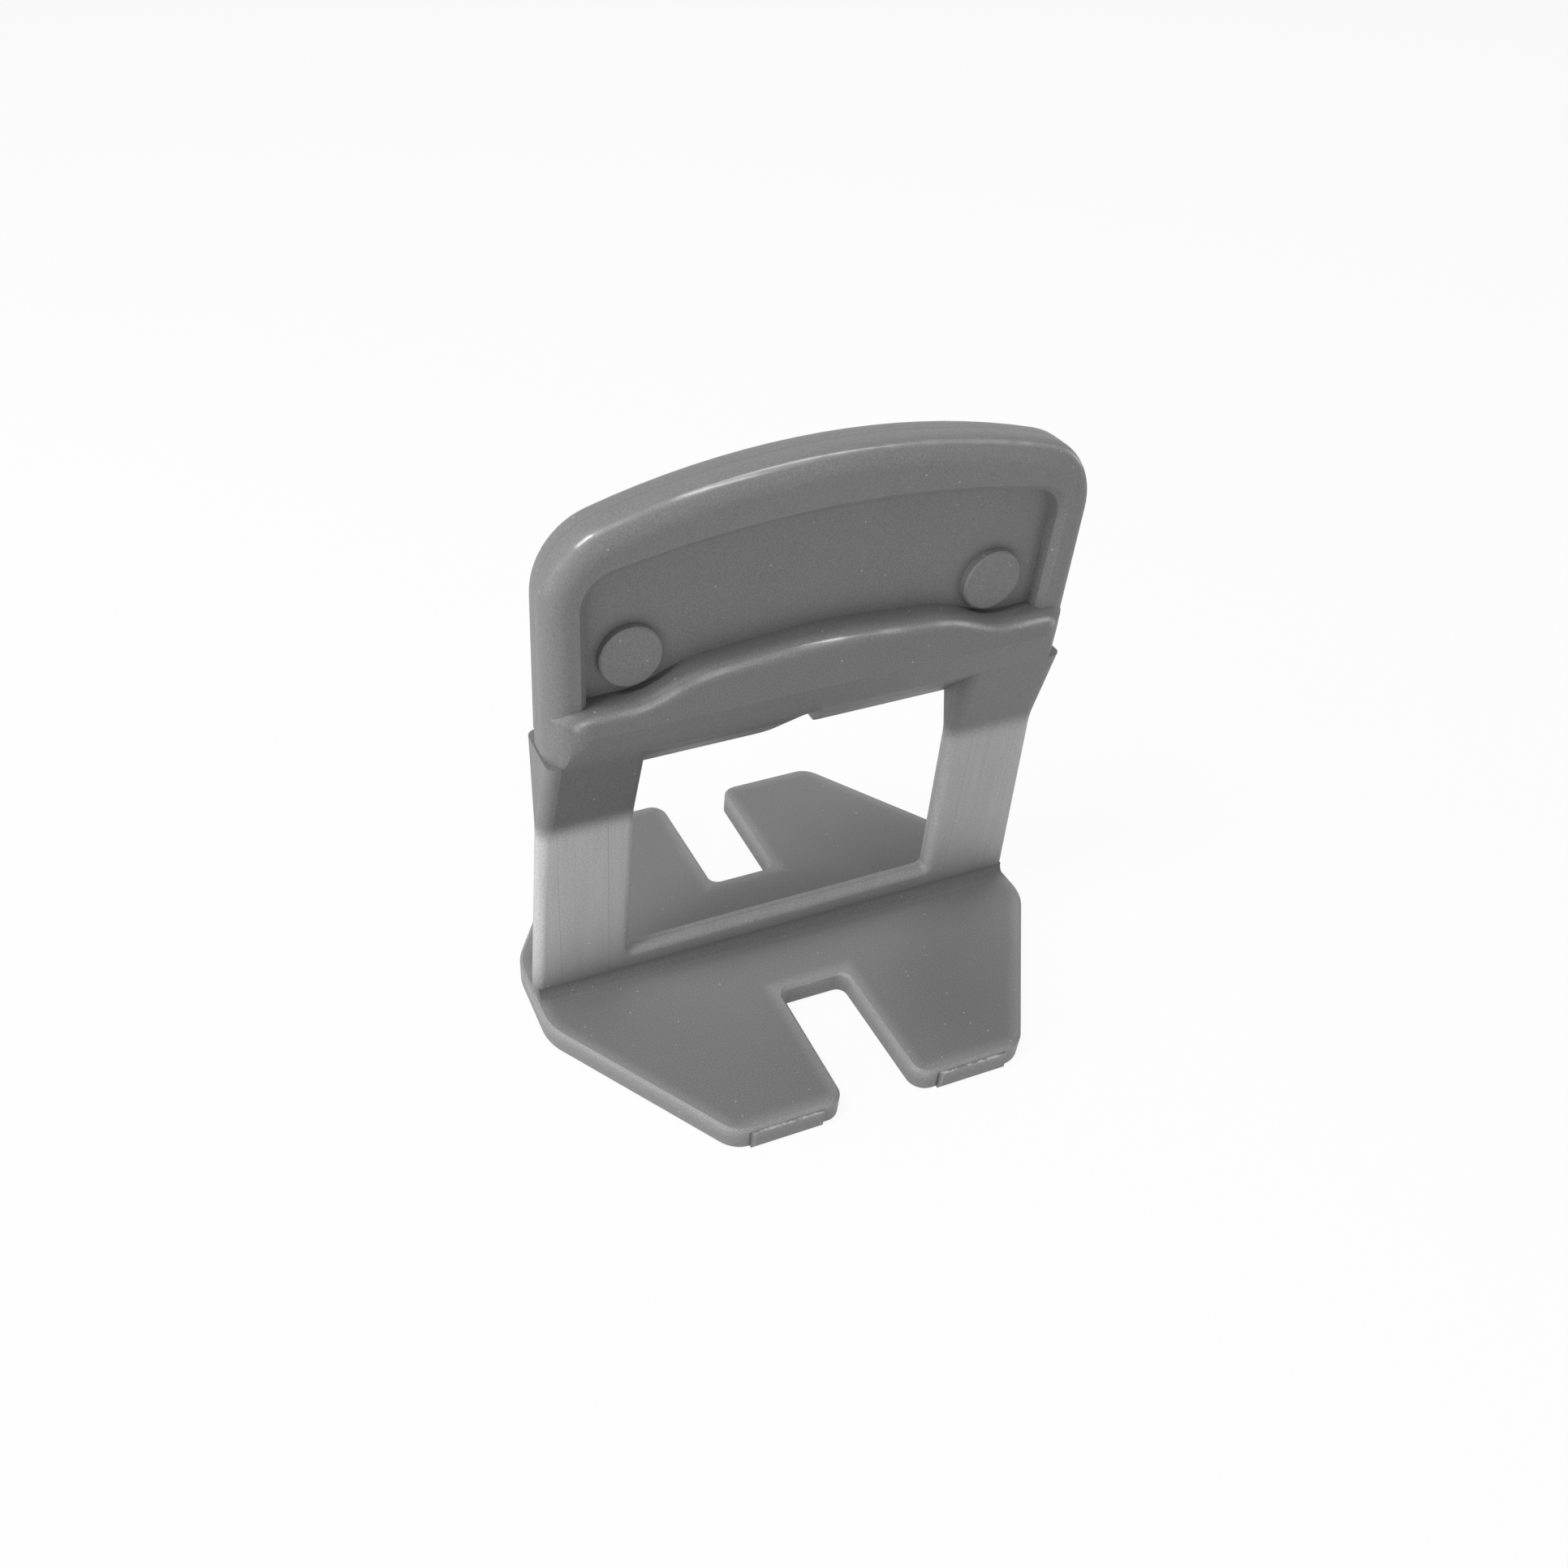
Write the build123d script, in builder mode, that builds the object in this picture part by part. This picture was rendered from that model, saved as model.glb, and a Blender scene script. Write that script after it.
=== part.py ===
"""Tile levelling clip, moulded in one piece.

A flat base plate slips under two neighbouring tiles, two thin legs stand in the joint
between them, and a wedge driven through the window presses the tiles level.

Axes: X runs along the joint, Y across it (the two wings of the plate point along Y),
Z is up.  The origin is on the underside of the plate, below the middle of the joint.
Millimetres.
"""
from build123d import *
import os

os.makedirs("parts", exist_ok=True)

# Base plate, an octagon stretched along Y
plate_half_width = 20.15
plate_side_half = 3.6
plate_end_half = 11.2
plate_end_y = 17.05
plate_thickness = 2.0
side_corner_radius = 4.2
end_corner_radius = 2.2
plate_edge_bevel = 0.22

# Slot in each wing
slot_inner_y = 6.3
slot_inner_half = 2.7
slot_mouth_half = 2.85
slot_inner_radius = 0.8
slot_mouth_radius = 1.3

# Upright: legs, sill and the slope up to the crease
leg_half_thickness = 0.75
leg_edge_round = 0.7
leg_foot_half = plate_half_width
slope_foot_z = 17.75
slope_blend = 6.2
crease_z = 24.3
crease_half_thickness = 2.35
crease_half_width = 18.85
foot_fillet = 0.9

# Window between the legs, and the tooth over it
window_foot_half = 12.62
window_top_half = 12.1
window_corner_radius = 0.35
window_edge_round = 0.6
sill_z = 4.35
tooth_z = 20.4

# Relief in the tooth edge over the window
relief_foot_half = 1.65
relief_top_half = 0.75
relief_foot_radius = 1.0
relief_top_radius = 0.7
relief_top_z = crease_z - 0.25

# Ledge across the foot of the head
ledge_half_thickness = 3.0
ledge_swell_z = 26.6
ledge_round = 0.9
ledge_end_round = 2.7
ledge_flat_z = 28.3
ledge_flat_from_x = 12.6
ledge_shoulder_x = 9.0
ledge_shoulder_z = 29.75
ledge_peak_z = 30.45
ledge_flat_radius = 6.0
ledge_shoulder_radius = 10.0
ledge_peak_radius = 40.0

# Head
head_foot_half = 18.75
head_lean = 0.2
head_shoulder_half = head_foot_half - head_lean
head_shoulder_z = 38.85
head_top_z = 42.15
head_corner_radius = 5.2
rim_half_thickness = 2.1
rim_round = 1.5
rim_inner_bevel = 0.4

# Recess on both faces of the head
panel_half_thickness = 0.9
rim_width = 2.75
recess_half_width = head_foot_half - rim_width
recess_corner_z = 36.7
recess_top_z = 38.5
recess_corner_radius = 2.0
recess_draft = 4

# Round pads left by the ejector pins, and flat lands left by the ejector blades
pad_radius = 2.1
pad_height = 0.65
pad_left_x = -13.0
pad_right_x = 12.35
pad_z = 30.95
pad_bevel = 0.12
land_length = 5.5
land_height = 1.5
land_foot_z = 0.15
land_centre_x = 7.3
land_proud = 0.15


def mirrored_outline(right_half):
    """Points of the right half, from the bottom up, followed by their mirror image."""
    return right_half + [(-x, z) for x, z in reversed(right_half)]


# Base plate with a slot open at each end
with BuildPart() as plate:
    with BuildSketch(Plane.XY) as plate_outline:
        with BuildLine():
            Polyline(
                (plate_half_width, -plate_side_half),
                (plate_half_width, plate_side_half),
                (plate_end_half, plate_end_y),
                (-plate_end_half, plate_end_y),
                (-plate_half_width, plate_side_half),
                (-plate_half_width, -plate_side_half),
                (-plate_end_half, -plate_end_y),
                (plate_end_half, -plate_end_y),
                close=True,
            )
        make_face()
        side_corners = plate_outline.vertices().filter_by_position(
            Axis.Y, -plate_side_half - 0.1, plate_side_half + 0.1
        )
        fillet(side_corners, radius=side_corner_radius)
        end_corners = plate_outline.vertices().group_by(Axis.Y)
        fillet(end_corners[0] + end_corners[-1], radius=end_corner_radius)
        for side in (-1, 1):
            with BuildLine():
                Polyline(
                    (-slot_inner_half, side * slot_inner_y),
                    (slot_inner_half, side * slot_inner_y),
                    (slot_mouth_half, side * plate_end_y),
                    (-slot_mouth_half, side * plate_end_y),
                    close=True,
                )
            make_face(mode=Mode.SUBTRACT)
        slot_ends = plate_outline.vertices().filter_by_position(
            Axis.X, -slot_mouth_half - 0.1, slot_mouth_half + 0.1
        )
        inner_corners = slot_ends.filter_by_position(Axis.Y, -slot_inner_y - 1, slot_inner_y + 1)
        fillet(inner_corners, radius=slot_inner_radius)
        mouth_corners = plate_outline.vertices().filter_by_position(
            Axis.X, -slot_mouth_half - 0.1, slot_mouth_half + 0.1
        )
        mouth_groups = mouth_corners.group_by(Axis.Y)
        fillet(mouth_groups[0] + mouth_groups[-1], radius=slot_mouth_radius)
    extrude(amount=plate_thickness)
    # Small bevels all round, above and below
    flat_edges = plate.edges().group_by(Axis.Z)
    chamfer(flat_edges[0] + flat_edges[-1], length=plate_edge_bevel)

# Upright sheet, thin at the foot, thickening over a slope up to the crease
with BuildPart() as upright:
    with BuildSketch(Plane.YZ) as upright_side:
        with BuildLine():
            Polyline(
                *mirrored_outline(
                    [
                        (leg_half_thickness, plate_thickness / 2),
                        (leg_half_thickness, slope_foot_z),
                        (crease_half_thickness, crease_z),
                    ]
                ),
                close=True,
            )
        make_face()
        bends = upright_side.vertices().filter_by_position(
            Axis.Y, slope_foot_z - 0.1, slope_foot_z + 0.1
        )
        fillet(bends, radius=slope_blend)
    extrude(amount=leg_foot_half, both=True)
    with BuildSketch(Plane.XZ):
        with BuildLine():
            Polyline(
                *mirrored_outline(
                    [(leg_foot_half, plate_thickness / 2), (crease_half_width, crease_z)]
                ),
                close=True,
            )
        make_face()
    extrude(amount=2 * crease_half_thickness, both=True, mode=Mode.INTERSECT)
    outer_edges = upright.edges().filter_by(lambda e: abs(e.tangent_at(0.5).Z) > 0.5)
    fillet(outer_edges, radius=leg_edge_round)

# Legs: what the window leaves of the sheet, with rounded edges all round the window
with BuildPart() as legs:
    add(upright.part)
    with BuildSketch(Plane.XZ) as window_front:
        with BuildLine():
            Polyline(
                *mirrored_outline(
                    [
                        (window_foot_half, sill_z),
                        (window_top_half, crease_z),
                        (window_top_half, crease_z + 1),
                    ]
                ),
                close=True,
            )
        make_face()
        fillet(window_front.vertices().group_by(Axis.Y)[0], radius=window_corner_radius)
    extrude(amount=2 * crease_half_thickness, both=True, mode=Mode.SUBTRACT)
    window_edges = legs.edges().filter_by(
        lambda e: abs(e.center().X) < window_foot_half + 0.1
        and leg_half_thickness - 0.1 < abs(e.center().Y)
        and sill_z - 0.1 < e.center().Z < crease_z - 0.1
    )
    fillet(window_edges, radius=window_edge_round)

# Tooth over the window: its underside slants down from the front crease to the back face
with BuildPart() as tooth:
    with BuildSketch(Plane.YZ):
        with BuildLine():
            slope_rise = (crease_half_thickness - leg_half_thickness) / (crease_z - slope_foot_z)
            Polyline(
                (-crease_half_thickness, crease_z),
                (leg_half_thickness + slope_rise * (tooth_z - slope_foot_z), tooth_z),
                (crease_half_thickness, crease_z),
                close=True,
            )
        make_face()
    extrude(amount=window_foot_half + window_edge_round, both=True)

# Hollow fillet that runs along both sides of the sheet where it stands on the plate
with BuildPart() as foot:
    with BuildSketch(Plane.YZ):
        with BuildLine():
            fillet_out = leg_half_thickness + foot_fillet
            fillet_top = plate_thickness + foot_fillet
            hollow = RadiusArc(
                (fillet_out, plate_thickness),
                (leg_half_thickness, fillet_top),
                foot_fillet,
            )
            mirror(hollow, about=Plane.YZ)
            Line((leg_half_thickness, fillet_top), (-leg_half_thickness, fillet_top))
            Polyline(
                (-fillet_out, plate_thickness),
                (-fillet_out, plate_thickness / 2),
                (fillet_out, plate_thickness / 2),
                (fillet_out, plate_thickness),
            )
        make_face()
    extrude(amount=leg_foot_half - leg_edge_round / 2, both=True)

# Ledge: a bar that swells out to both faces, its top arched in the middle
ledge_top = [
    (head_foot_half, ledge_flat_z),
    (ledge_flat_from_x, ledge_flat_z),
    (ledge_shoulder_x, ledge_shoulder_z),
    (0, ledge_peak_z),
    (-ledge_shoulder_x, ledge_shoulder_z),
    (-ledge_flat_from_x, ledge_flat_z),
    (-head_foot_half, ledge_flat_z),
]
with BuildPart() as swell:
    add(upright.faces().sort_by(Axis.Z)[-1])
    for height, half_thickness in (
        (ledge_swell_z, ledge_half_thickness),
        (ledge_peak_z + 1, ledge_half_thickness + ledge_round),
    ):
        with BuildSketch(Plane.XY.offset(height)):
            RectangleRounded(2 * head_foot_half, 2 * half_thickness, ledge_end_round)
    loft()

with BuildPart() as ledge:
    with BuildSketch(Plane.XZ) as ledge_front:
        with BuildLine():
            Polyline(
                *ledge_top,
                (-head_foot_half, crease_z - 1),
                (head_foot_half, crease_z - 1),
                close=True,
            )
        make_face()
        for corner_x, radius in (
            (ledge_flat_from_x, ledge_flat_radius),
            (ledge_shoulder_x, ledge_shoulder_radius),
            (0, ledge_peak_radius),
        ):
            picked = ledge_front.vertices().filter_by(lambda v: abs(abs(v.X) - corner_x) < 0.01)
            fillet(picked, radius=radius)
    extrude(amount=ledge_half_thickness, both=True)
    fillet(ledge.edges().filter_by(Axis.Z), radius=ledge_end_round)
    top_faces = ledge.faces().filter_by(lambda f: f.normal_at().Z > 0.7)
    rim_edges = top_faces.edges().filter_by(
        lambda e: abs(e.tangent_at(0.5).Y) < 0.999 or abs(e.center().X) > head_foot_half - 0.1
    )
    fillet(rim_edges, radius=ledge_round)
    add(swell.part, mode=Mode.INTERSECT)

# Head with an arched top and broadly rounded edges
with BuildPart() as head:
    with BuildSketch(Plane.XZ) as head_outline:
        with BuildLine():
            Polyline(
                (-head_shoulder_half, head_shoulder_z),
                (-head_foot_half, ledge_swell_z - 1),
                (head_foot_half, ledge_swell_z - 1),
                (head_shoulder_half, head_shoulder_z),
            )
            ThreePointArc(
                (head_shoulder_half, head_shoulder_z),
                (0, head_top_z),
                (-head_shoulder_half, head_shoulder_z),
            )
        make_face()
        fillet(head_outline.vertices().group_by(Axis.Y)[-1], radius=head_corner_radius)
    extrude(amount=rim_half_thickness, both=True)
    outline_edges = head.edges().filter_by(lambda e: abs(abs(e.center().Y) - rim_half_thickness) < 0.01)
    round_edges = outline_edges.filter_by(lambda e: e.center().Z > ledge_swell_z)
    fillet(round_edges, radius=rim_round)
    # Recess in both faces; the ledge closes it below
    for facing in (Plane.front, Plane.back):
        with BuildSketch(facing.offset(panel_half_thickness)) as recess_front:
            with BuildLine():
                Polyline(
                    (recess_half_width, recess_corner_z),
                    (recess_half_width, crease_z),
                    (-recess_half_width, crease_z),
                    (-recess_half_width, recess_corner_z),
                )
                ThreePointArc(
                    (-recess_half_width, recess_corner_z),
                    (0, recess_top_z),
                    (recess_half_width, recess_corner_z),
                )
            make_face()
            fillet(recess_front.vertices().group_by(Axis.Y)[-1], radius=recess_corner_radius)
        extrude(amount=rim_half_thickness, taper=-recess_draft, mode=Mode.SUBTRACT)
    inner_edges = head.edges().filter_by(
        lambda e: abs(abs(e.center().Y) - rim_half_thickness) < 0.01
        and e.center().Z > ledge_swell_z
        and abs(e.center().X) < recess_half_width + rim_width / 4
        and e.center().Z < recess_top_z + rim_width / 4
    )
    chamfer(inner_edges, length=rim_inner_bevel)

# Relief that clears the middle rib of the wedge
with BuildPart() as relief:
    with BuildSketch(Plane.XZ) as relief_front:
        with BuildLine():
            Polyline(
                *mirrored_outline(
                    [
                        (2 * relief_foot_half + 1, tooth_z - 1),
                        (2 * relief_foot_half + 1, tooth_z),
                        (relief_foot_half, tooth_z),
                        (relief_top_half, relief_top_z),
                    ]
                ),
                close=True,
            )
        make_face()
        feet = relief_front.vertices().filter_by(
            lambda v: abs(abs(v.X) - relief_foot_half) < 0.01
        )
        fillet(feet, radius=relief_foot_radius)
        fillet(relief_front.vertices().group_by(Axis.Y)[-1], radius=relief_top_radius)
    extrude(amount=2 * ledge_half_thickness, both=True)

# The clip, all of one piece
with BuildPart() as levelling_clip:
    add(plate.part)
    add(foot.part)
    add(legs.part)
    add(tooth.part)
    add(ledge.part)
    add(head.part)

    add(relief.part, mode=Mode.SUBTRACT)

    # Pads of the two ejector pins, on the front face only
    with BuildSketch(Plane.XZ.offset(panel_half_thickness)):
        with Locations((pad_left_x, pad_z), (pad_right_x, pad_z)):
            Circle(pad_radius)
    extrude(amount=pad_height)
    pad_rims = levelling_clip.edges().filter_by(GeomType.CIRCLE).filter_by(
        lambda e: abs(e.center().Y + panel_half_thickness + pad_height) < 0.01
        and abs(e.center().Z - pad_z) < 0.01
    )
    chamfer(pad_rims, length=pad_bevel)

    # Lands of the two ejector blades, on the end of the front wing
    with BuildSketch(Plane.XZ.offset(plate_end_y - plate_edge_bevel)):
        with Locations(
            (-land_centre_x, land_foot_z + land_height / 2),
            (land_centre_x, land_foot_z + land_height / 2),
        ):
            Rectangle(land_length, land_height)
    extrude(amount=plate_edge_bevel + land_proud)

levelling_clip.part.label = "levelling_clip"
export_step(levelling_clip.part, "parts/levelling_clip.step")
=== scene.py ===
"""Studio picture of a tile levelling clip, moulded in one piece of grey plastic.

Every mark on the plastic is placed in mm on the clip itself: along the tile joint (+X),
across it (+Y, with the front at -Y) and up (+Z) from the middle of the plate's underside.
"""
import math
from types import SimpleNamespace

import bpy
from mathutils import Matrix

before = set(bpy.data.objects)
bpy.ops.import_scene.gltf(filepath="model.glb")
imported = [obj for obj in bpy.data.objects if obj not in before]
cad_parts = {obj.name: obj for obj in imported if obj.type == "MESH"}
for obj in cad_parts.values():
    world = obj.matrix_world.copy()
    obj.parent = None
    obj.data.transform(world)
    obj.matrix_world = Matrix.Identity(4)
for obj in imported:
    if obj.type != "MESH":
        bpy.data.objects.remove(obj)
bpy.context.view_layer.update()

MM = 0.001

# Shares of light that the plastic throws back in the thick parts, and in the thin legs with
# painted light let through added, painted lighter on the left leg than on the right
THICK_TONE = 0.182
LEFT_LEG_LIT_TONE = 0.47
RIGHT_LEG_LIT_TONE = 0.43

# What each mark adds to that share: painted light on the leg edges and the plate edges, a
# painted highlight on the blade marks' lips, and paler dust specks, nicks and strips
LEG_EDGE_PAINTED_LIGHT = 0.07
PLATE_EDGE_PAINTED_LIGHT = 0.085
SPECK_GLOW = 0.2
NICK_GLOW = 0.05
LIP_PAINTED_HIGHLIGHT = 0.3
STRIP_GLOW = 0.08

# What each mark leaves of that share: painted shade for all but the parting line and the draw
# lines
LEFT_PATCH_SHADE_LEAVES = 0.7
PARTING_LEAVES = 0.8
DRAW_LINE_LEAVES = 0.84
LEDGE_TOP_SHADE_LEAVES = 0.78
LEDGE_FRONT_SHADE_LEAVES = 0.92
WING_END_SHADE_LEAVES = 0.8
GROOVE_SHADE_LEAVES = 0.55
HOLLOW_SHADE_LEAVES = 0.72

# Sizes of the clip that the marks follow, in mm
PLATE_TOP = 2.02
PLATE_HALF_WIDTH = 20.15
PLATE_HALF_DEPTH = 17.05
PLATE_CORNER = (0.832, 0.554, 18.77)
SLOT_HALF_WIDTH = 2.78
SLOT_START = 6.3
FRONT_END = -17.0
HEAD_TOP = 42.15
HEAD_ARCH_DROP = 3.3
HEAD_HALF_WIDTH = 18.55

# Plain white, as a strength or a colour
WHITE = 1.0
FLOOR_WHITE_SHARE = 0.93
ROOM_STRENGTH = 0.03


def node_of(tree, kind, **settings):
    """Adds one shader node and sets the named properties on it."""
    node = tree.nodes.new(kind)
    for name, value in settings.items():
        setattr(node, name, value)
    return node


def math_node(tree, operation, first, second=None, clamp=False):
    """One sum on two values, each a number or another node's output."""
    node = node_of(tree, "ShaderNodeMath", operation=operation, use_clamp=clamp)
    for place, value in enumerate((first, second)):
        if value is None:
            continue
        if isinstance(value, (int, float)):
            node.inputs[place].default_value = value
        else:
            tree.links.new(value, node.inputs[place])
    return node.outputs[0]


def in_a_row(tree, operation, first, *others):
    """The same sum carried along a row of values, from the first to the last."""
    result = first
    for value in others:
        result = math_node(tree, operation, result, value)
    return result


def product(tree, *shares):
    """All the shares multiplied: 1 only where each of them is 1."""
    return in_a_row(tree, "MULTIPLY", *shares)


def opposite(tree, share):
    """1 where the share is 0, and 0 where it is 1."""
    return math_node(tree, "SUBTRACT", 1.0, share)


def ramp_between(tree, value, low, high, smooth=True):
    """0 below low, 1 above high, and an even rise between them."""
    node = node_of(
        tree,
        "ShaderNodeMapRange",
        interpolation_type="SMOOTHSTEP" if smooth else "LINEAR",
        clamp=True,
    )
    tree.links.new(value, node.inputs["Value"])
    node.inputs["From Min"].default_value = low
    node.inputs["From Max"].default_value = high
    return node.outputs["Result"]


def fall_between(tree, value, low, high):
    """1 below low, 0 above high, and an even fall between them."""
    return opposite(tree, ramp_between(tree, value, low, high))


def band_between(tree, value, low, high, soft):
    """1 between low and high and 0 outside them, with edges soft to either side."""
    rise = ramp_between(tree, value, low - soft, low + soft)
    fall = ramp_between(tree, value, high - soft, high + soft)
    return math_node(tree, "SUBTRACT", rise, fall, clamp=True)


def line_at(tree, value, middle, half_width):
    """1 on the line where value equals middle, falling to 0 at half_width from it."""
    off = math_node(tree, "ABSOLUTE", math_node(tree, "SUBTRACT", value, middle))
    return fall_between(tree, off, 0.0, half_width)


def two_lines(tree, value, first, second):
    """Two lines at once, each given as its middle and its half width."""
    return math_node(
        tree, "MAXIMUM", line_at(tree, value, *first), line_at(tree, value, *second)
    )


def times_between(tree, share, low, high):
    """Factor that runs from low to high as share runs from 0 to 1."""
    return math_node(tree, "ADD", math_node(tree, "MULTIPLY", share, high - low), low)


def grain(tree, place, scale, detail=2.0, stretch=(1.0, 1.0, 1.0)):
    """Cloudy noise around 0.5; scale is in clouds per mm and stretch draws them out."""
    turned = node_of(tree, "ShaderNodeMapping")
    turned.inputs["Scale"].default_value = stretch
    tree.links.new(place, turned.inputs["Vector"])
    noise = node_of(tree, "ShaderNodeTexNoise", noise_dimensions="3D")
    noise.inputs["Scale"].default_value = scale
    noise.inputs["Detail"].default_value = detail
    tree.links.new(turned.outputs["Vector"], noise.inputs["Vector"])
    return noise.outputs["Fac"]


def few_cells(tree, place, scale, channel, rarity, core, rim):
    """Small spots in the middles of a few cells of a Voronoi pattern.

    A cell is taken where the named channel of its colour is above rarity. Its spot is 1
    out to core from the cell's point and falls to 0 at rim.
    """
    cells = node_of(tree, "ShaderNodeTexVoronoi", voronoi_dimensions="3D", feature="F1")
    cells.inputs["Scale"].default_value = scale
    tree.links.new(place, cells.inputs["Vector"])
    picked = node_of(tree, "ShaderNodeSeparateColor")
    tree.links.new(cells.outputs["Color"], picked.inputs[0])
    chosen = math_node(tree, "GREATER_THAN", picked.outputs[channel], rarity)
    return product(tree, chosen, fall_between(tree, cells.outputs["Distance"], core, rim))


def places_on_clip(tree):
    """Where a point of the skin lies on the clip, in mm, and how far it faces up.

    outward and aside are its distances from the middle plane across the joint and from
    the one along it, whichever side it is on.
    """
    metres = node_of(tree, "ShaderNodeTexCoord").outputs["Object"]
    in_mm = node_of(tree, "ShaderNodeVectorMath", operation="SCALE")
    in_mm.inputs["Scale"].default_value = 1 / MM
    tree.links.new(metres, in_mm.inputs[0])
    place = in_mm.outputs["Vector"]
    axes = node_of(tree, "ShaderNodeSeparateXYZ")
    tree.links.new(place, axes.inputs[0])
    along, across, height = (axes.outputs[name] for name in "XYZ")
    facing = node_of(tree, "ShaderNodeSeparateXYZ")
    normal = node_of(tree, "ShaderNodeNewGeometry").outputs["Normal"]
    tree.links.new(normal, facing.inputs[0])
    return SimpleNamespace(
        place=place,
        along=along,
        across=across,
        height=height,
        outward=math_node(tree, "ABSOLUTE", along),
        aside=math_node(tree, "ABSOLUTE", across),
        facing_up=ramp_between(tree, facing.outputs["Z"], 0.5, 0.9),
        on_plate=fall_between(tree, height, PLATE_TOP, PLATE_TOP + 0.28),
    )


def thin_legs(tree, at):
    """How much painted light a leg lets through.

    It is 1 less the exponential of minus the height above the foot over 2.4 mm, and it
    falls back to 0 where the slope thickens.
    """
    above_foot = math_node(tree, "SUBTRACT", at.height, 2.8)
    above_foot = math_node(tree, "MAXIMUM", above_foot, 0.0)
    fade = math_node(tree, "EXPONENT", math_node(tree, "MULTIPLY", above_foot, -1 / 2.4))
    return product(tree, opposite(tree, fade), fall_between(tree, at.height, 16.7, 18.7))


def plate_edge_light(tree, at):
    """Painted light on the plate within about a millimetre of its outline and of its slots.

    The distance to the edge is the least of those to the ends, the sides, the cut corners
    and the slots, and the mark is weaker low down on the edge's own face.
    """
    slope_along, slope_across, corner_reach = PLATE_CORNER
    slanting = math_node(
        tree,
        "ADD",
        math_node(tree, "MULTIPLY", at.outward, slope_along),
        math_node(tree, "MULTIPLY", at.aside, slope_across),
    )
    to_slot = math_node(
        tree,
        "MAXIMUM",
        math_node(tree, "SUBTRACT", at.outward, SLOT_HALF_WIDTH),
        math_node(tree, "SUBTRACT", SLOT_START, at.aside),
    )
    to_edge = in_a_row(
        tree,
        "MINIMUM",
        math_node(tree, "SUBTRACT", PLATE_HALF_DEPTH, at.aside),
        math_node(tree, "SUBTRACT", PLATE_HALF_WIDTH, at.outward),
        math_node(tree, "SUBTRACT", corner_reach, slanting),
        to_slot,
    )
    weaker_below = times_between(tree, ramp_between(tree, at.height, 0.8, 1.9), 0.2, 1.0)
    return product(tree, at.on_plate, fall_between(tree, to_edge, 0.1, 1.3), weaker_below)


def flow_and_grain(tree, at, thin):
    """Factors of tone: flow streaks down the legs, broad clouds and a fine grain."""
    streaks = grain(tree, at.place, 1.3, stretch=(1.0, 1.0, 0.05))
    streaks = product(tree, math_node(tree, "SUBTRACT", streaks, 0.5), thin, 0.35)
    return (
        math_node(tree, "ADD", streaks, 1.0),
        times_between(tree, grain(tree, at.place, 0.12), 0.94, 1.06),
        times_between(tree, grain(tree, at.place, 8.0, detail=3.0), 0.6, 1.4),
    )


def rough_patches(tree, at):
    """Rough patch on the front of each slope, its outer edge crisp and leaning inwards; on the
    left slope it also gets painted shade.
    """
    patch_edge = math_node(
        tree, "ADD", at.outward, math_node(tree, "MULTIPLY", at.height, 0.056)
    )
    return product(
        tree,
        band_between(tree, at.height, 18.0, 24.45, 0.9),
        fall_between(tree, patch_edge, 19.25, 19.35),
        math_node(tree, "LESS_THAN", at.across, -0.5),
    )


def parting_line(tree, at):
    """Where the mould's halves met, all round the outline of the clip."""
    return product(
        tree, line_at(tree, at.across, 0.0, 0.09), ramp_between(tree, at.height, 0.4, 0.6)
    )


def draw_lines(tree, at):
    """Two fine lines down each leg, left as the clip was drawn out of the mould."""
    lines = two_lines(tree, at.outward, (14.25, 0.07), (17.95, 0.06))
    return product(tree, lines, band_between(tree, at.height, 3.0, 17.5, 0.6))


def ledge_top_shade(tree, at):
    """The rounded top of the ledge, where shade is painted because the panel behind keeps
    light off it.
    """
    return product(tree, at.facing_up, band_between(tree, at.height, 26.0, 31.5, 0.3))


def ledge_front_shade(tree, at):
    """The front of the ledge, from the crease to its crest, where a little shade is painted.
    """
    return product(
        tree,
        band_between(tree, at.height, 21.5, 29.5, 0.8),
        ramp_between(tree, at.aside, 2.2, 2.6),
    )


def wing_end_shade(tree, at):
    """The top of the front wing's right end, where shade is painted."""
    return product(
        tree,
        at.on_plate,
        ramp_between(tree, at.along, 2.0, 11.0),
        fall_between(tree, at.across, -13.0, -3.0),
        at.facing_up,
    )


def nicks(tree, at):
    """Short slanting scratches: a few cells of a Voronoi pattern that is drawn out."""
    slanted = node_of(tree, "ShaderNodeMapping")
    slanted.inputs["Rotation"].default_value = (0.0, math.radians(35), math.radians(20))
    slanted.inputs["Scale"].default_value = (0.5, 2.6, 2.6)
    tree.links.new(at.place, slanted.inputs["Vector"])
    return few_cells(tree, slanted.outputs["Vector"], 0.55, "Green", 0.75, 0.03, 0.1)


def lip_highlights(tree, at):
    """Painted highlight along the upper lips of the two blade marks on the end of the front
    wing, in a ragged line.
    """
    return product(
        tree,
        line_at(tree, at.height, 1.62, 0.1),
        band_between(tree, at.outward, 4.6, 10.0, 0.05),
        math_node(tree, "LESS_THAN", at.across, FRONT_END - 0.02),
        ramp_between(tree, grain(tree, at.place, 1.6), 0.42, 0.6),
    )


def blade_starts(tree, at):
    """The groove at the left end of each blade mark, painted as shade, and the pale strip
    beside it.
    """
    front_end = product(
        tree,
        math_node(tree, "LESS_THAN", at.across, FRONT_END),
        band_between(tree, at.height, 0.1, 1.7, 0.1),
    )
    groove_shade = two_lines(tree, at.along, (-10.1, 0.14), (4.5, 0.14))
    strips = two_lines(tree, at.along, (-9.8, 0.16), (4.8, 0.16))
    return product(tree, groove_shade, front_end), product(tree, strips, front_end)


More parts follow.
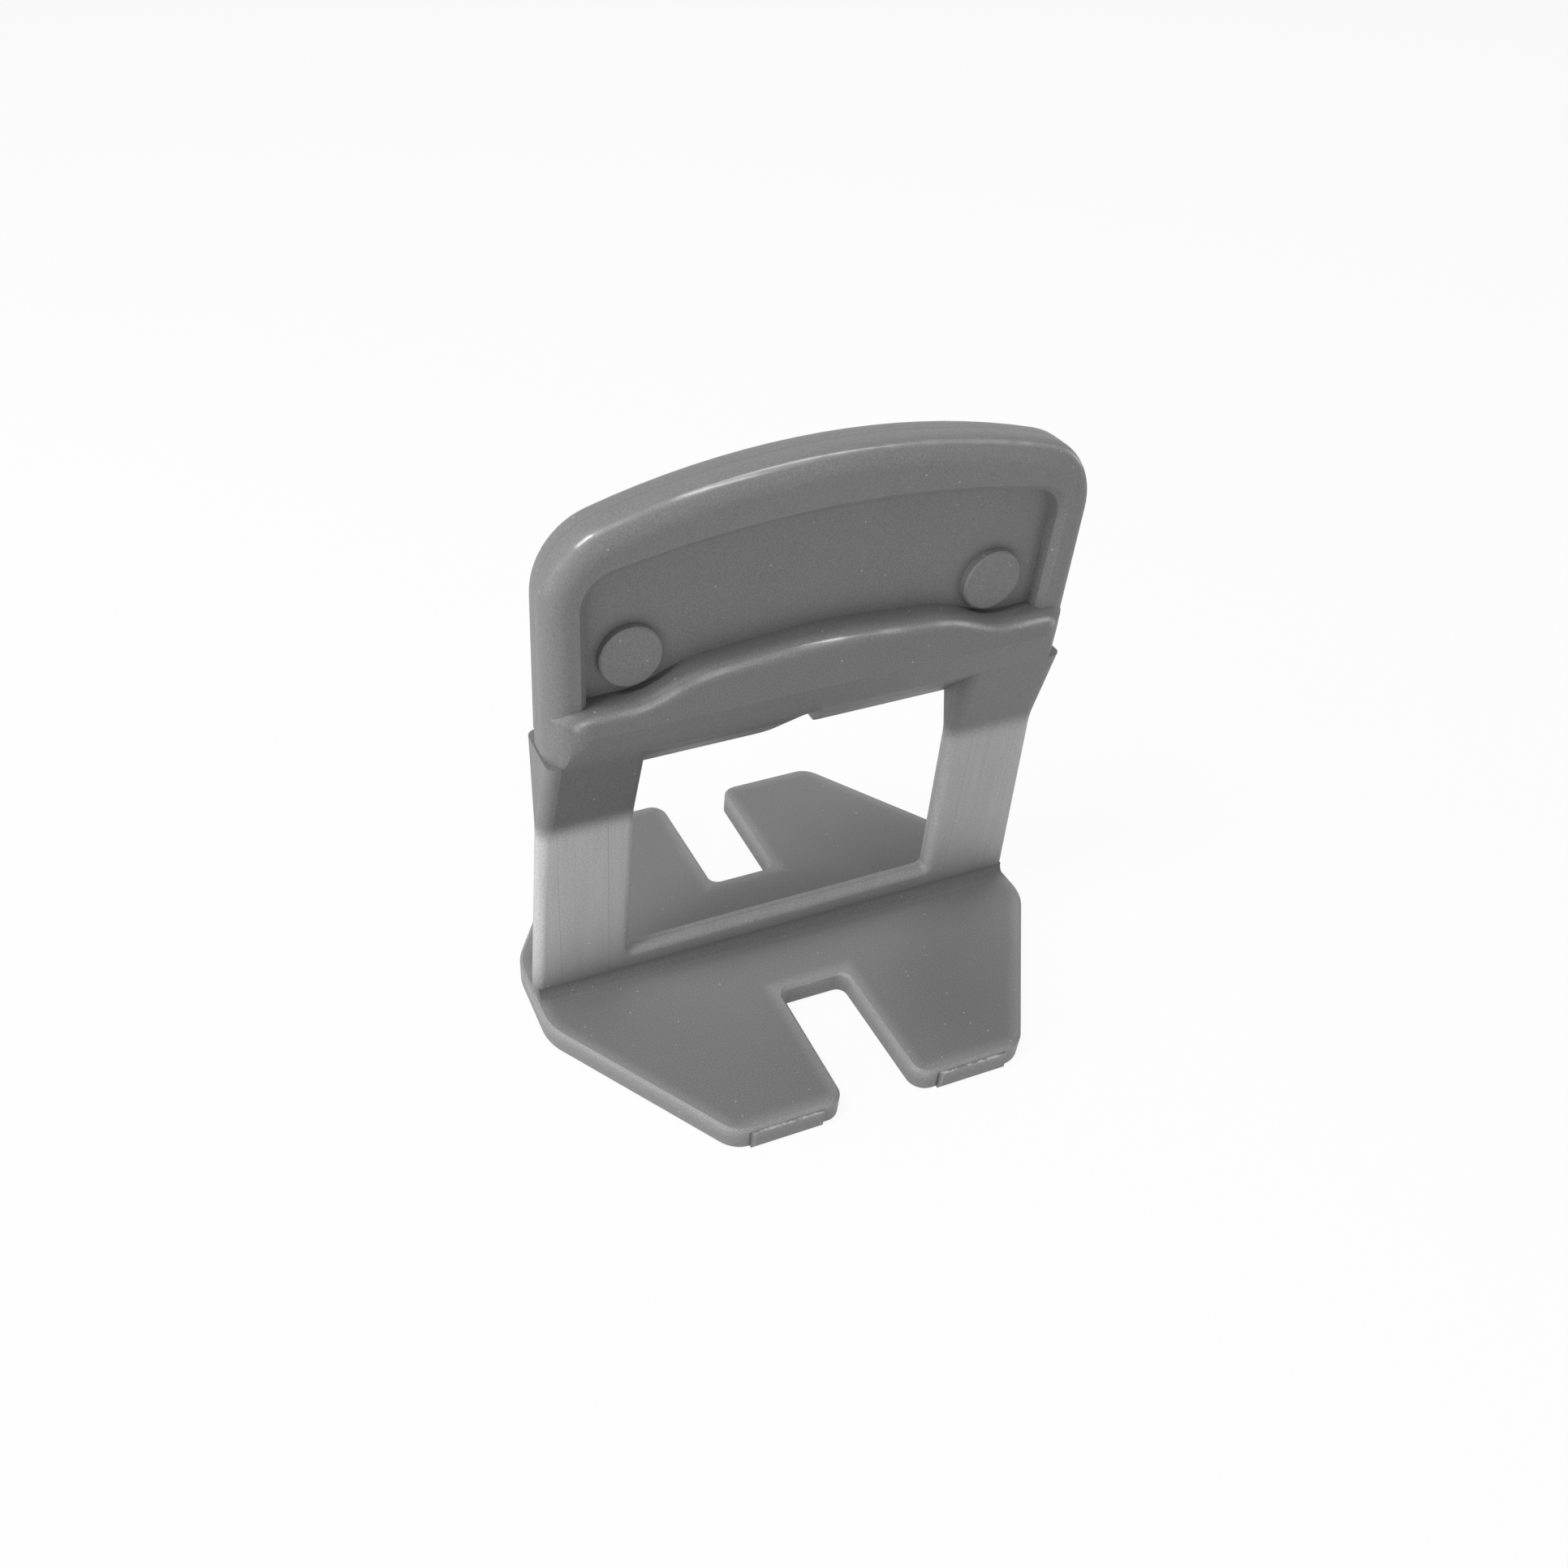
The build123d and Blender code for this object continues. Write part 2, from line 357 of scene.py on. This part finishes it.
def foot_hollow(tree, at):
    """The hollow fillet at the foot of the legs, where shade is painted."""
    return product(
        tree,
        band_between(tree, at.height, PLATE_TOP, 2.9, 0.12),
        band_between(tree, at.aside, 0.6, 1.7, 0.15),
    )


def polished_crests(tree, at):
    """Crests of the rim and of the ledge, in broken lines.

    The rim's crest lies within 1.5 mm of the head's arched top, whose height is that of
    its middle less 3.3 mm times the square of the share of the half width.
    """
    share_out = math_node(tree, "DIVIDE", at.outward, HEAD_HALF_WIDTH)
    arch = math_node(tree, "POWER", share_out, 2.0)
    arch_drop = math_node(tree, "MULTIPLY", arch, HEAD_ARCH_DROP)
    arch_top = math_node(tree, "SUBTRACT", HEAD_TOP, arch_drop)
    below_arch = math_node(tree, "SUBTRACT", arch_top, at.height)
    rim_crest = product(
        tree, line_at(tree, at.aside, 1.45, 0.22), fall_between(tree, below_arch, 0.9, 1.5)
    )
    ledge_crest = product(
        tree,
        line_at(tree, at.aside, 2.8, 0.17),
        band_between(tree, at.height, 27.3, 30.5, 0.2),
    )
    broken = ramp_between(tree, grain(tree, at.place, 0.35), 0.35, 0.65)
    return product(
        tree,
        math_node(tree, "MAXIMUM", rim_crest, ledge_crest),
        times_between(tree, broken, 0.25, 1.0),
    )


def grey_plastic():
    """Mid grey polypropylene as moulded, with a fine grain and with painted light and shade.

    The thin legs let light through, and that light is painted into their tone: it climbs from
    the foot to the middle of the leg, drops back where the slope thickens and climbs towards
    their edges, stronger on the left leg than the right.
    """
    material = bpy.data.materials.new("grey_plastic")
    material.use_nodes = True
    tree = material.node_tree
    tree.nodes.clear()
    out = node_of(tree, "ShaderNodeOutputMaterial")
    skin = node_of(tree, "ShaderNodeBsdfPrincipled")
    tree.links.new(skin.outputs["BSDF"], out.inputs["Surface"])
    at = places_on_clip(tree)

    def paler(tone, mark, glow):
        """Adds glow to the tone on the mark."""
        return math_node(tree, "ADD", tone, math_node(tree, "MULTIPLY", mark, glow))

    def darker(tone, mark, leaves):
        """Keeps only a share of the tone on the mark."""
        return math_node(tree, "MULTIPLY", tone, times_between(tree, mark, 1.0, leaves))

    # Thick parts, and painted light: let through the thin legs, on the legs' edges and on the
    # plate's edges
    thin = thin_legs(tree, at)
    # Painted light let through the thin legs, stronger on the left leg than on the right
    leg_lit_tone = times_between(
        tree,
        ramp_between(tree, at.along, -16.0, 16.0, smooth=False),
        LEFT_LEG_LIT_TONE - THICK_TONE,
        RIGHT_LEG_LIT_TONE - THICK_TONE,
    )
    tone = math_node(tree, "ADD", math_node(tree, "MULTIPLY", thin, leg_lit_tone), THICK_TONE)
    # Painted light towards the legs' outer edges
    leg_edge_light = product(tree, thin, ramp_between(tree, at.outward, 17.4, 20.4, smooth=False))
    tone = paler(tone, leg_edge_light, LEG_EDGE_PAINTED_LIGHT)
    # Painted light on the plate's edges
    tone = paler(tone, plate_edge_light(tree, at), PLATE_EDGE_PAINTED_LIGHT)
    tone = product(tree, tone, *flow_and_grain(tree, at, thin))

    # Darker places, most of them painted shade; the rough patch gets painted shade on the left
    # slope alone
    patches = rough_patches(tree, at)
    left = math_node(tree, "LESS_THAN", at.along, 0.0)
    parting = parting_line(tree, at)
    lines = draw_lines(tree, at)
    for mark, leaves in (
        # Painted shade on the left slope's patch
        (product(tree, patches, left), LEFT_PATCH_SHADE_LEAVES),
        (parting, PARTING_LEAVES),
        (lines, DRAW_LINE_LEAVES),
        # Painted shade on the ledge's top, under the panel
        (ledge_top_shade(tree, at), LEDGE_TOP_SHADE_LEAVES),
        # Painted shade on the ledge's front
        (ledge_front_shade(tree, at), LEDGE_FRONT_SHADE_LEAVES),
        # Painted shade on the top of the front wing's right end
        (wing_end_shade(tree, at), WING_END_SHADE_LEAVES),
    ):
        tone = darker(tone, mark, leaves)

    # Dust, nicks and the marks of use and of the mould, with a painted highlight on the blade
    # marks' lips, and painted shade in their grooves and in the hollow at the foot
    specks = few_cells(tree, at.place, 1.1, "Red", 0.6, 0.05, 0.09)
    tone = paler(tone, specks, SPECK_GLOW)
    tone = paler(tone, nicks(tree, at), NICK_GLOW)
    # Painted highlight on the lips of the blade marks
    tone = paler(tone, lip_highlights(tree, at), LIP_PAINTED_HIGHLIGHT)
    groove_shade, strips = blade_starts(tree, at)
    # Painted shade in the grooves
    tone = darker(tone, groove_shade, GROOVE_SHADE_LEAVES)
    tone = paler(tone, strips, STRIP_GLOW)
    hollow = foot_hollow(tree, at)
    # Painted shade in the hollow at the foot of the legs
    tone = darker(tone, hollow, HOLLOW_SHADE_LEAVES)
    colour = node_of(tree, "ShaderNodeCombineColor")
    for channel in ("Red", "Green", "Blue"):
        tree.links.new(tone, colour.inputs[channel])
    tree.links.new(colour.outputs["Color"], skin.inputs["Base Color"])

    # Polish on the crests, and a soft sheen that the patches and the hollow lack
    tree.links.new(polished_crests(tree, at), skin.inputs["Coat Weight"])
    skin.inputs["Coat IOR"].default_value = 2.2
    skin.inputs["Coat Roughness"].default_value = 0.15
    rough = times_between(tree, grain(tree, at.place, 2.5, detail=4.0), 0.42, 0.58)
    rough = math_node(tree, "ADD", rough, math_node(tree, "MULTIPLY", patches, 0.1))
    rough = math_node(tree, "ADD", rough, math_node(tree, "MULTIPLY", hollow, 0.25))
    tree.links.new(rough, skin.inputs["Roughness"])

    # Relief of the skin: fine orange peel, the raised parting line, sunk draw lines
    peel = math_node(tree, "MULTIPLY", grain(tree, at.place, 3.0, detail=5.0), 0.6)
    sunk = math_node(tree, "MULTIPLY", lines, 0.6)
    relief = math_node(tree, "SUBTRACT", math_node(tree, "ADD", peel, parting), sunk)
    bump = node_of(tree, "ShaderNodeBump")
    bump.inputs["Distance"].default_value = 0.03 * MM
    bump.inputs["Strength"].default_value = 0.5
    tree.links.new(relief, bump.inputs["Height"])
    tree.links.new(bump.outputs["Normal"], skin.inputs["Normal"])
    return material


def seen_white(tree):
    """1 for the rays that see the white backdrop: straight, mirrored or let through."""
    path = node_of(tree, "ShaderNodeLightPath")
    seen = math_node(tree, "ADD", path.outputs["Is Camera Ray"], path.outputs["Is Glossy Ray"])
    return math_node(tree, "ADD", seen, path.outputs["Is Transmission Ray"], clamp=True)


def mixed(tree, share, plain, white):
    """Shader that runs from plain to white as share runs from 0 to 1."""
    mix = node_of(tree, "ShaderNodeMixShader")
    for place, value in enumerate((share, plain, white)):
        tree.links.new(value, mix.inputs[place])
    return mix.outputs[0]


def pale_floor():
    """White floor: plain white to the camera, apart from the shadow it keeps."""
    material = bpy.data.materials.new("pale_floor")
    material.use_nodes = True
    tree = material.node_tree
    tree.nodes.clear()
    out = node_of(tree, "ShaderNodeOutputMaterial")
    matt = node_of(tree, "ShaderNodeBsdfDiffuse")
    matt.inputs["Color"].default_value = (0.95, 0.95, 0.95, 1)
    white = node_of(tree, "ShaderNodeEmission")
    white.inputs["Strength"].default_value = WHITE
    share = math_node(tree, "MULTIPLY", seen_white(tree), FLOOR_WHITE_SHARE)
    shown = mixed(tree, share, matt.outputs[0], white.outputs[0])
    tree.links.new(shown, out.inputs["Surface"])
    return material


def lay_floor(half_side, level):
    """Square floor around the clip, a hair below the plate's underside."""
    corners = [(-1, -1), (1, -1), (1, 1), (-1, 1)]
    mesh = bpy.data.meshes.new("floor")
    mesh.from_pydata(
        [(x * half_side, y * half_side, level) for x, y in corners], [], [(0, 1, 2, 3)]
    )
    mesh.materials.append(pale_floor())
    floor = bpy.data.objects.new("floor", mesh)
    bpy.context.scene.collection.objects.link(floor)


def hang_backdrop():
    """World: a faint even light from the room, seen as a white backdrop."""
    world = bpy.data.worlds.new("studio")
    bpy.context.scene.world = world
    world.use_nodes = True
    tree = world.node_tree
    tree.nodes.clear()
    room = node_of(tree, "ShaderNodeBackground")
    room.inputs["Strength"].default_value = ROOM_STRENGTH
    backdrop = node_of(tree, "ShaderNodeBackground")
    backdrop.inputs["Color"].default_value = (WHITE, WHITE, WHITE, 1)
    backdrop.inputs["Strength"].default_value = WHITE
    shown = mixed(tree, seen_white(tree), room.outputs[0], backdrop.outputs[0])
    out = node_of(tree, "ShaderNodeOutputWorld")
    tree.links.new(shown, out.inputs["Surface"])


def soft_lamp(name, azimuth, elevation, width, depth, level):
    """Soft lamp 0.45 m from the clip's middle, which it faces.

    azimuth is measured from +X round to +Y and elevation up from the floor, in degrees;
    level is the lamp's radiance, so its power is level times pi times its area.
    """
    turn, rise = math.radians(azimuth), math.radians(elevation)
    light = bpy.data.lights.new(name, "AREA")
    light.shape = "RECTANGLE"
    light.size, light.size_y = width, depth
    light.energy = level * math.pi * width * depth
    lamp = bpy.data.objects.new(name, light)
    bpy.context.scene.collection.objects.link(lamp)
    away, clip_middle = 0.45, 0.02
    lamp.location = (
        away * math.cos(rise) * math.cos(turn),
        away * math.cos(rise) * math.sin(turn),
        away * math.sin(rise) + clip_middle,
    )
    lamp.rotation_euler = (math.pi / 2 - rise, 0.0, turn + math.pi / 2)


def set_up_camera():
    """Camera at the photo's own viewpoint, with the picture shifted as it was cropped."""
    lens = bpy.data.cameras.new("camera")
    lens.sensor_width = 36.0
    lens.lens = 30.256
    lens.shift_x = 0.11694
    lens.shift_y = 0.04311
    lens.clip_start = 0.005
    camera = bpy.data.objects.new("camera", lens)
    bpy.context.scene.collection.objects.link(camera)
    camera.location = (-0.037692, -0.064047, 0.075684)
    tilt, roll, turn = 48.0063, 0.4012, -20.2079
    camera.rotation_euler = (math.radians(tilt), math.radians(roll), math.radians(turn))
    bpy.context.scene.camera = camera


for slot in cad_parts["levelling_clip"].material_slots:
    slot.material = grey_plastic()
lay_floor(1.5, -0.02 * MM)
hang_backdrop()
for name, azimuth, elevation, width, depth, level in (
    ("key_lamp", 190, 59, 0.13, 0.15, 17.5),
    ("left_low_lamp", 180, 8, 0.24, 0.24, 5.4),
    ("front_left_lamp", 225, 12, 0.24, 0.24, 1.5),
    ("front_lamp", 270, 12, 0.24, 0.24, 1.2),
    ("front_right_lamp", 315, 12, 0.24, 0.24, 0.6),
    ("front_strip", 305, 56, 0.026, 0.46, 6.0),
    ("top_strip", 352, 74, 0.035, 0.30, 4.0),
    ("back_high_lamp", 90, 66, 0.24, 0.24, 1.0),
    ("back_left_lamp", 135, 42, 0.24, 0.24, 0.6),
    ("back_right_lamp", 45, 42, 0.24, 0.24, 0.7),
):
    soft_lamp(name, azimuth, elevation, width, depth, level)
set_up_camera()
bpy.context.scene.view_settings.view_transform = "Standard"
